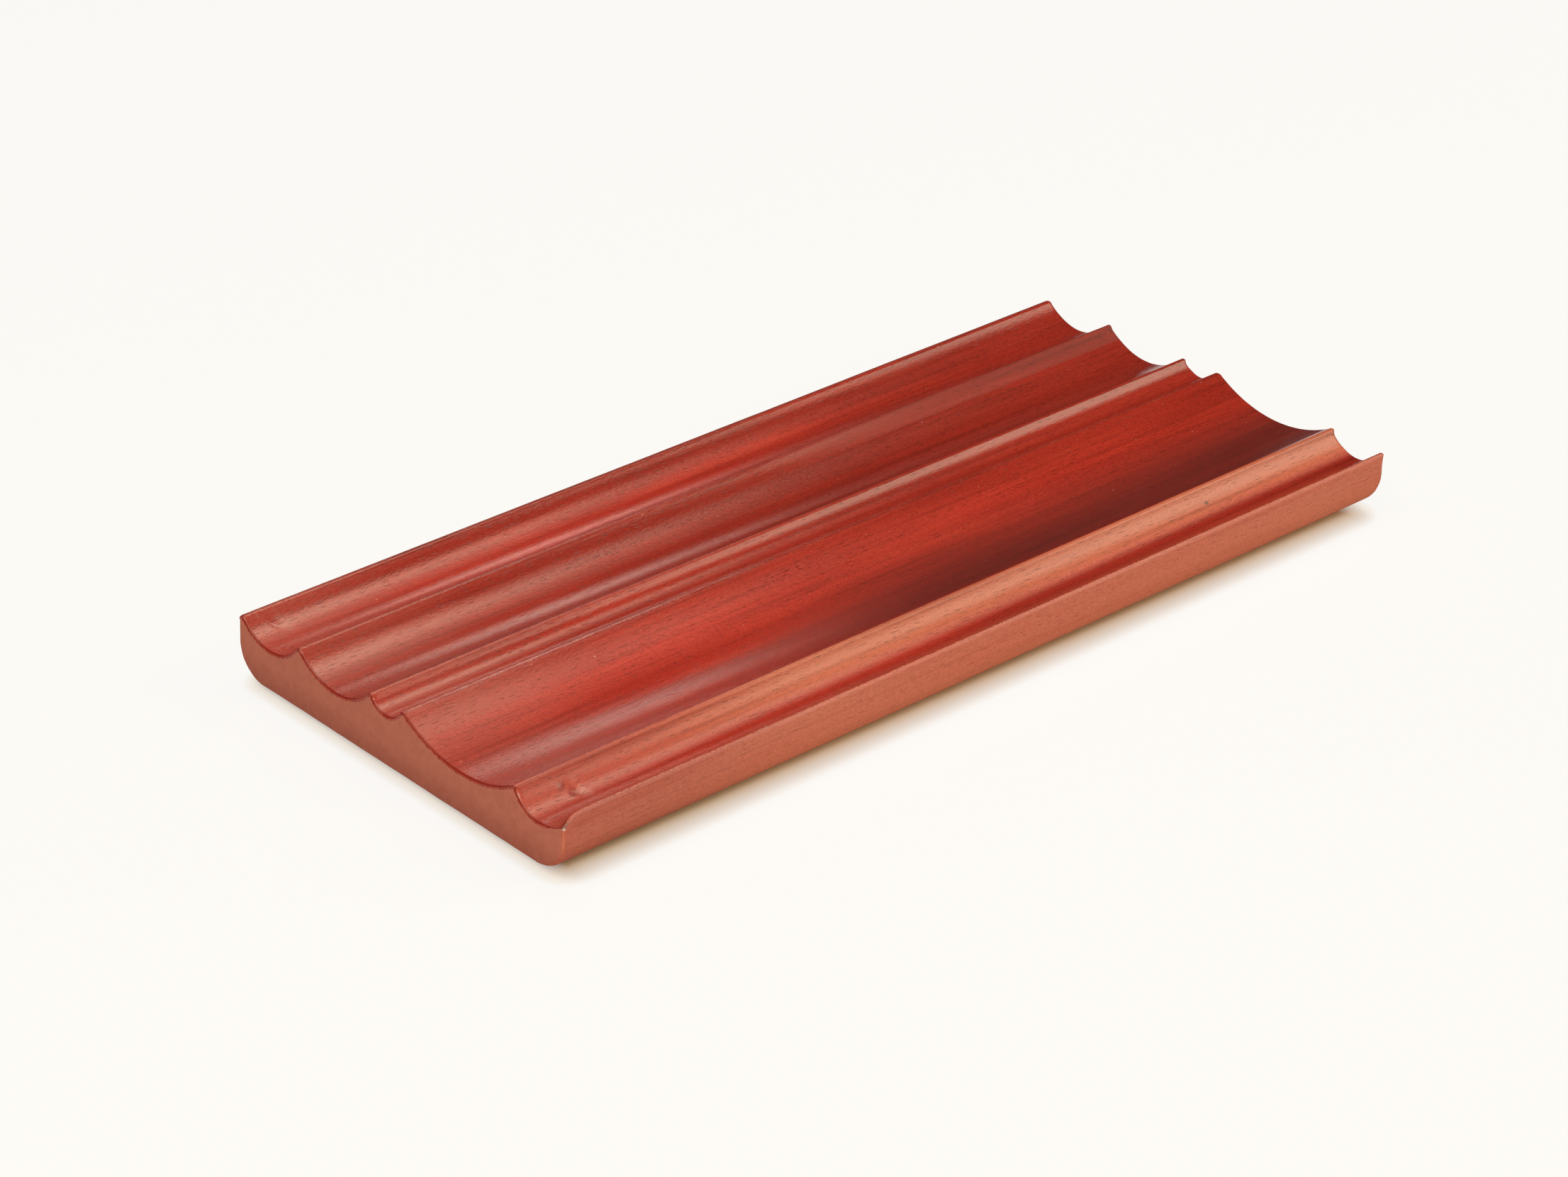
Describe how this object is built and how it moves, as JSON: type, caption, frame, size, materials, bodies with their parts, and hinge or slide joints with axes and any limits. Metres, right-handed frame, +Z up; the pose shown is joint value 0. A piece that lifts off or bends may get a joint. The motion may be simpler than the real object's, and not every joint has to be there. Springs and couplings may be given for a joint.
{
  "type": "pen tray",
  "caption": "Low solid wood pen tray with rounded parallel grooves of different widths for pens and small desk items, on felt feet.",
  "frame": {"origin": "middle of the tray's footprint, on the surface that the felt feet stand on", "axes": "+X along the grooves, +Y from the front lip to the back rim, +Z up"},
  "size_m": [0.2, 0.092, 0.0143],
  "materials": {
    "stained_beech": "satin lacquer over red stain",
    "dark_felt": "matte felt"
  },
  "bodies": {
    "root": {"tray_block": "stained_beech", "felt_foot_front_left": "dark_felt", "felt_foot_front_right": "dark_felt", "felt_foot_back_left": "dark_felt", "felt_foot_back_right": "dark_felt"}
  },
  "joints": []
}
